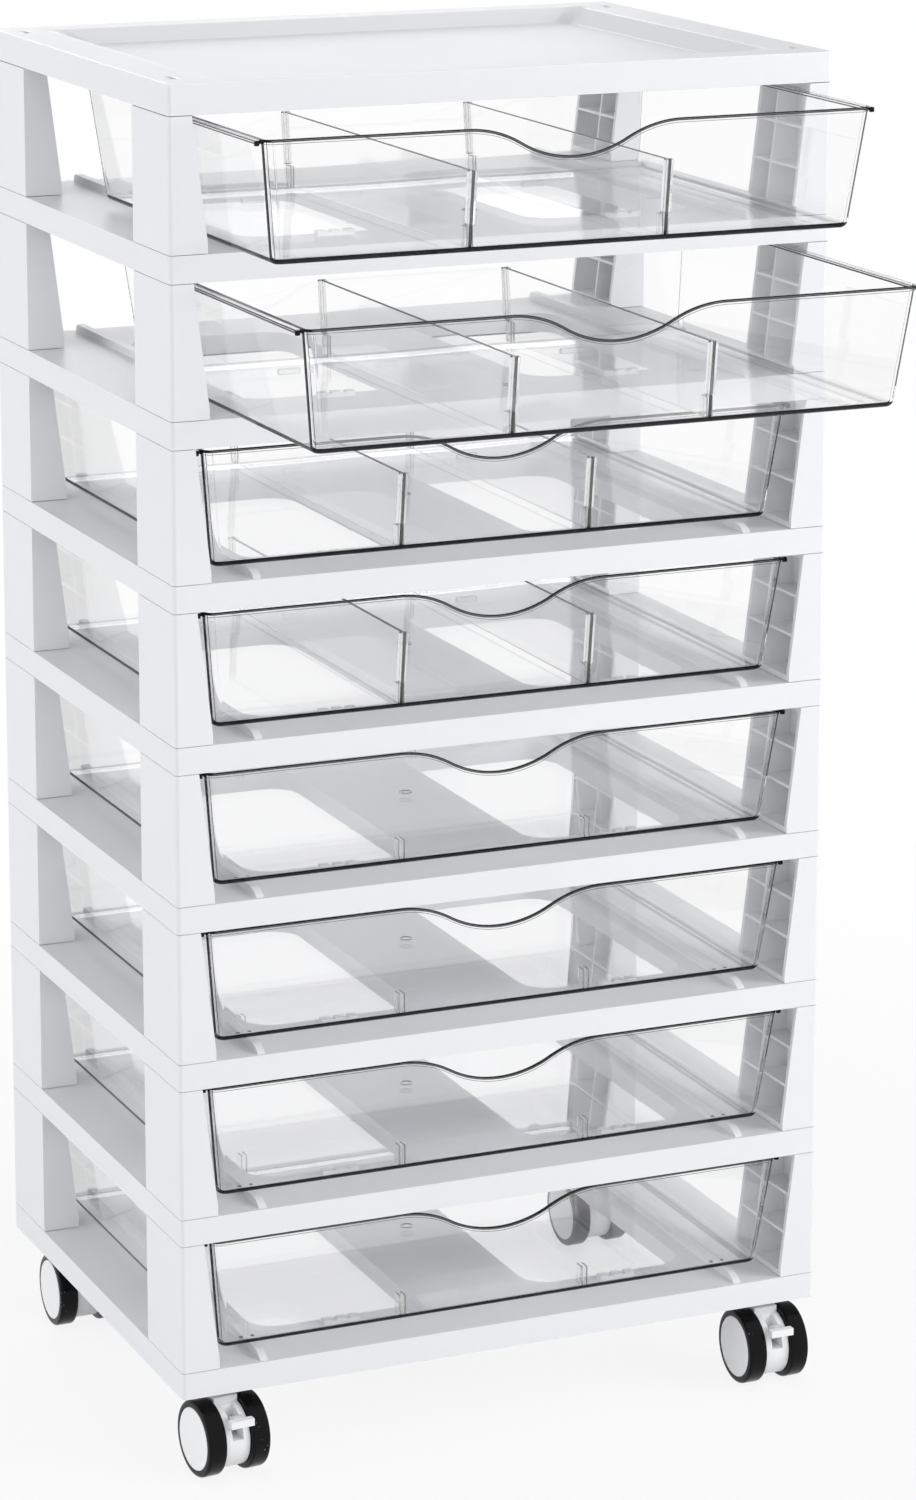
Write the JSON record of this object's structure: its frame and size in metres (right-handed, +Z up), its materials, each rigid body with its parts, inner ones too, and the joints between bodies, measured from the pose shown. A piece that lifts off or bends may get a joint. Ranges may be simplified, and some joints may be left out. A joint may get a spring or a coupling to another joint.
{
  "type": "drawer tower",
  "caption": "Tall white plastic drawer tower with a tray top, clear sliding drawers with a finger dip, removable dividers in the upper drawers, and swivel casters.",
  "frame": {"origin": "on the ground under the middle of the bounding box, with the top two drawers standing open as stored", "axes": "+X to the right seen from the front, +Y to the back, +Z up; the drawers open toward -Y"},
  "size_m": [0.356, 0.3984, 0.7085],
  "materials": {
    "white_plastic": "satin moulded white",
    "white_caster_plastic": "smooth moulded white",
    "clear_plastic": "polished, clear",
    "black_tyre": "glossy black",
    "steel": "bright zinc"
  },
  "bodies": {
    "tower": {"top_cover": "white_plastic", "deck_1": "white_plastic", "deck_2": "white_plastic", "deck_3": "white_plastic", "deck_4": "white_plastic", "deck_5": "white_plastic", "deck_6": "white_plastic", "deck_7": "white_plastic", "deck_8": "white_plastic", "front_left_posts": "white_plastic", "front_right_posts": "white_plastic", "back_left_posts": "white_plastic", "back_right_posts": "white_plastic", "stem_front_left": "steel", "stem_front_right": "steel", "stem_back_left": "steel", "stem_back_right": "steel"},
    "drawer_1": {"drawer_1": "clear_plastic", "divider_1_left": "clear_plastic", "divider_1_right": "clear_plastic"},
    "drawer_2": {"drawer_2": "clear_plastic", "divider_2_left": "clear_plastic", "divider_2_right": "clear_plastic"},
    "drawer_3": {"drawer_3": "clear_plastic", "divider_3_left": "clear_plastic", "divider_3_right": "clear_plastic"},
    "drawer_4": {"drawer_4": "clear_plastic", "divider_4_left": "clear_plastic", "divider_4_right": "clear_plastic"},
    "drawer_5": {"drawer_5": "clear_plastic"},
    "drawer_6": {"drawer_6": "clear_plastic"},
    "drawer_7": {"drawer_7": "clear_plastic"},
    "drawer_8": {"drawer_8": "clear_plastic"},
    "caster_front_left": {"housing_front_left": "white_caster_plastic", "axle_front_left": "steel"},
    "wheel_front_left_outer": {"wheel_front_left_outer": "black_tyre", "cap_front_left_outer": "white_caster_plastic"},
    "wheel_front_left_inner": {"wheel_front_left_inner": "black_tyre", "cap_front_left_inner": "white_caster_plastic"},
    "brake_front_left": {"brake_front_left": "white_caster_plastic"},
    "caster_front_right": {"housing_front_right": "white_caster_plastic", "axle_front_right": "steel"},
    "wheel_front_right_outer": {"wheel_front_right_outer": "black_tyre", "cap_front_right_outer": "white_caster_plastic"},
    "wheel_front_right_inner": {"wheel_front_right_inner": "black_tyre", "cap_front_right_inner": "white_caster_plastic"},
    "brake_front_right": {"brake_front_right": "white_caster_plastic"},
    "caster_back_left": {"housing_back_left": "white_caster_plastic", "axle_back_left": "steel"},
    "wheel_back_left_outer": {"wheel_back_left_outer": "black_tyre", "cap_back_left_outer": "white_caster_plastic"},
    "wheel_back_left_inner": {"wheel_back_left_inner": "black_tyre", "cap_back_left_inner": "white_caster_plastic"},
    "caster_back_right": {"housing_back_right": "white_caster_plastic", "axle_back_right": "steel"},
    "wheel_back_right_outer": {"wheel_back_right_outer": "black_tyre", "cap_back_right_outer": "white_caster_plastic"},
    "wheel_back_right_inner": {"wheel_back_right_inner": "black_tyre", "cap_back_right_inner": "white_caster_plastic"}
  },
  "joints": [
    {"name": "drawer_1_slide", "type": "slide", "parent": "tower", "child": "drawer_1", "axis": [0, -1, 0], "range_m": [-0.0857, 0.1043]},
    {"name": "drawer_2_slide", "type": "slide", "parent": "tower", "child": "drawer_2", "axis": [0, -1, 0], "range_m": [-0.1357, 0.0543]},
    {"name": "drawer_3_slide", "type": "slide", "parent": "tower", "child": "drawer_3", "axis": [0, -1, 0], "range_m": [0, 0.19]},
    {"name": "drawer_4_slide", "type": "slide", "parent": "tower", "child": "drawer_4", "axis": [0, -1, 0], "range_m": [0, 0.19]},
    {"name": "drawer_5_slide", "type": "slide", "parent": "tower", "child": "drawer_5", "axis": [0, -1, 0], "range_m": [0, 0.19]},
    {"name": "drawer_6_slide", "type": "slide", "parent": "tower", "child": "drawer_6", "axis": [0, -1, 0], "range_m": [0, 0.19]},
    {"name": "drawer_7_slide", "type": "slide", "parent": "tower", "child": "drawer_7", "axis": [0, -1, 0], "range_m": [0, 0.19]},
    {"name": "drawer_8_slide", "type": "slide", "parent": "tower", "child": "drawer_8", "axis": [0, -1, 0], "range_m": [0, 0.19]},
    {"name": "caster_front_left_swivel", "type": "hinge", "parent": "tower", "child": "caster_front_left", "pos_m": [-0.1538, -0.0466, 0.04495], "axis": [0, 0, 1], "continuous": true},
    {"name": "wheel_front_left_outer_spin", "type": "hinge", "parent": "caster_front_left", "child": "wheel_front_left_outer", "pos_m": [-0.15247, -0.06044, 0.01975], "axis": [0.9954, 0.0958, 0], "continuous": true},
    {"name": "wheel_front_left_inner_spin", "type": "hinge", "parent": "caster_front_left", "child": "wheel_front_left_inner", "pos_m": [-0.15247, -0.06044, 0.01975], "axis": [0.9954, 0.0958, 0], "continuous": true},
    {"name": "brake_front_left_tip", "type": "hinge", "parent": "caster_front_left", "child": "brake_front_left", "pos_m": [-0.15175, -0.0679, 0.02775], "axis": [0.9954, 0.0958, 0], "range_deg": [0, 14]},
    {"name": "caster_front_right_swivel", "type": "hinge", "parent": "tower", "child": "caster_front_right", "pos_m": [0.1538, -0.0466, 0.04495], "axis": [0, 0, 1], "continuous": true},
    {"name": "wheel_front_right_outer_spin", "type": "hinge", "parent": "caster_front_right", "child": "wheel_front_right_outer", "pos_m": [0.1538, -0.0605, 0.01975], "axis": [1, 0, 0], "continuous": true},
    {"name": "wheel_front_right_inner_spin", "type": "hinge", "parent": "caster_front_right", "child": "wheel_front_right_inner", "pos_m": [0.1538, -0.0605, 0.01975], "axis": [1, 0, 0], "continuous": true},
    {"name": "brake_front_right_tip", "type": "hinge", "parent": "caster_front_right", "child": "brake_front_right", "pos_m": [0.1538, -0.068, 0.02775], "axis": [1, 0, 0], "range_deg": [0, 14]},
    {"name": "caster_back_left_swivel", "type": "hinge", "parent": "tower", "child": "caster_back_left", "pos_m": [-0.1538, 0.175, 0.04495], "axis": [0, 0, 1], "continuous": true},
    {"name": "wheel_back_left_outer_spin", "type": "hinge", "parent": "caster_back_left", "child": "wheel_back_left_outer", "pos_m": [-0.1538, 0.1611, 0.01975], "axis": [1, 0, 0], "continuous": true},
    {"name": "wheel_back_left_inner_spin", "type": "hinge", "parent": "caster_back_left", "child": "wheel_back_left_inner", "pos_m": [-0.1538, 0.1611, 0.01975], "axis": [1, 0, 0], "continuous": true},
    {"name": "caster_back_right_swivel", "type": "hinge", "parent": "tower", "child": "caster_back_right", "pos_m": [0.1538, 0.175, 0.04495], "axis": [0, 0, 1], "continuous": true},
    {"name": "wheel_back_right_outer_spin", "type": "hinge", "parent": "caster_back_right", "child": "wheel_back_right_outer", "pos_m": [0.1538, 0.1611, 0.01975], "axis": [1, 0, 0], "continuous": true},
    {"name": "wheel_back_right_inner_spin", "type": "hinge", "parent": "caster_back_right", "child": "wheel_back_right_inner", "pos_m": [0.1538, 0.1611, 0.01975], "axis": [1, 0, 0], "continuous": true}
  ]
}
